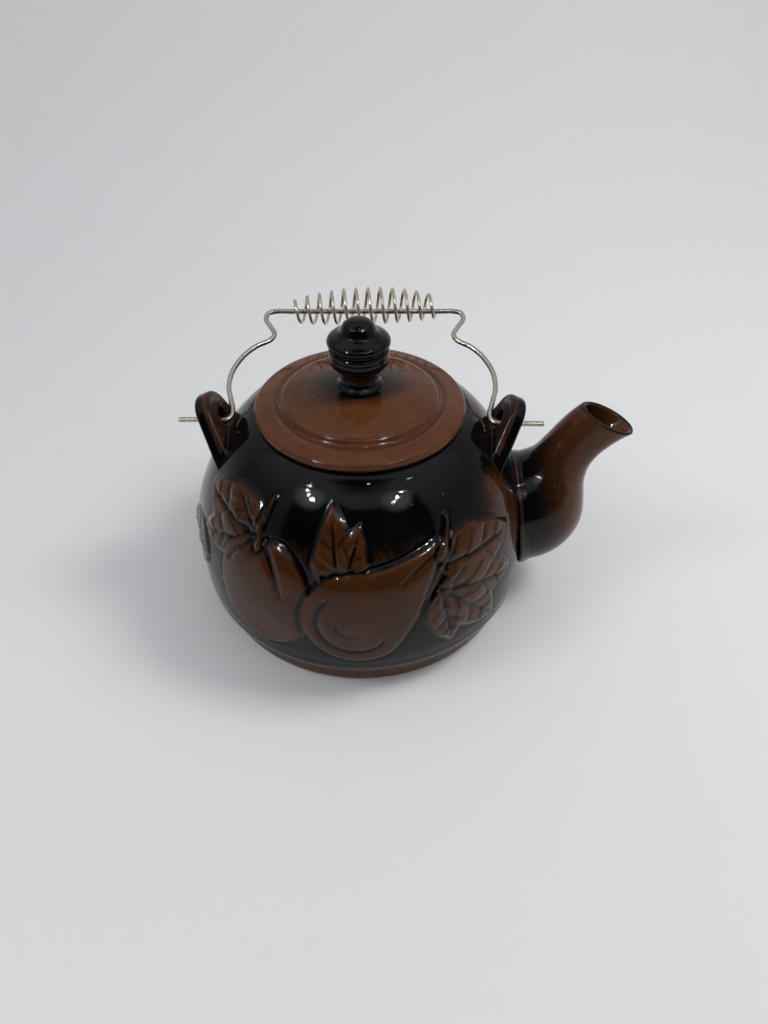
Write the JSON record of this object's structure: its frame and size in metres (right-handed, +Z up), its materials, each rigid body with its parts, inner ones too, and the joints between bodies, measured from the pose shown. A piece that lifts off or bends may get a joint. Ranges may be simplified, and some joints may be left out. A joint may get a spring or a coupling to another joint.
{
  "type": "teapot with lift-out infuser basket",
  "caption": "Squat glazed stoneware teapot with relief fruit and leaves, lift-off lid, lift-out strainer basket and a swinging wire bail with a coil spring grip.",
  "frame": {"origin": "pot axis at table level", "axes": "+Z up along the pot axis, +X towards the spout, +Y towards the side the bail lies back on"},
  "size_m": [0.2031, 0.16, 0.143],
  "materials": {
    "pot_glaze": "gloss black glaze breaking to rust brown on the relief",
    "spout_glaze": "gloss glaze, black at the root, rust brown at the tip",
    "lug_glaze": "gloss black glaze with brown edges",
    "lid_glaze": "gloss rust brown glaze, darker round the knob",
    "knob_glaze": "gloss black glaze, brown neck",
    "wire_steel": "drawn wire, slightly tarnished",
    "spring_steel": "drawn spring wire, slightly tarnished",
    "sheet_steel": "satin stainless sheet"
  },
  "bodies": {
    "pot": {"pot_body": "pot_glaze", "spout": "spout_glaze", "lug_left": "lug_glaze", "lug_right": "lug_glaze"},
    "lid": {"lid": "lid_glaze", "lid_knob": "knob_glaze"},
    "bail": {"bail_wire": "wire_steel"},
    "grip": {"grip_coil": "spring_steel"},
    "infuser": {"infuser_flange": "sheet_steel", "infuser_wall": "sheet_steel", "infuser_floor": "sheet_steel", "infuser_tab_left": "sheet_steel", "infuser_tab_right": "sheet_steel"}
  },
  "joints": [
    {"name": "bail_swing", "type": "hinge", "parent": "pot", "child": "bail", "pos_m": [0, 0, 0.0926], "axis": [1, 0, 0], "range_deg": [-11, 145]},
    {"name": "grip_spin", "type": "hinge", "parent": "bail", "child": "grip", "pos_m": [0, 0.05919, 0.11532], "axis": [0.9999, 0.0118, 0.0045], "continuous": true},
    {"name": "infuser_lift", "type": "slide", "parent": "pot", "child": "infuser", "axis": [0, 0, 1], "range_m": [0, 0.075]},
    {"name": "lid_lift", "type": "slide", "parent": "infuser", "child": "lid", "axis": [0, 0, 1], "range_m": [0, 0.05]}
  ]
}
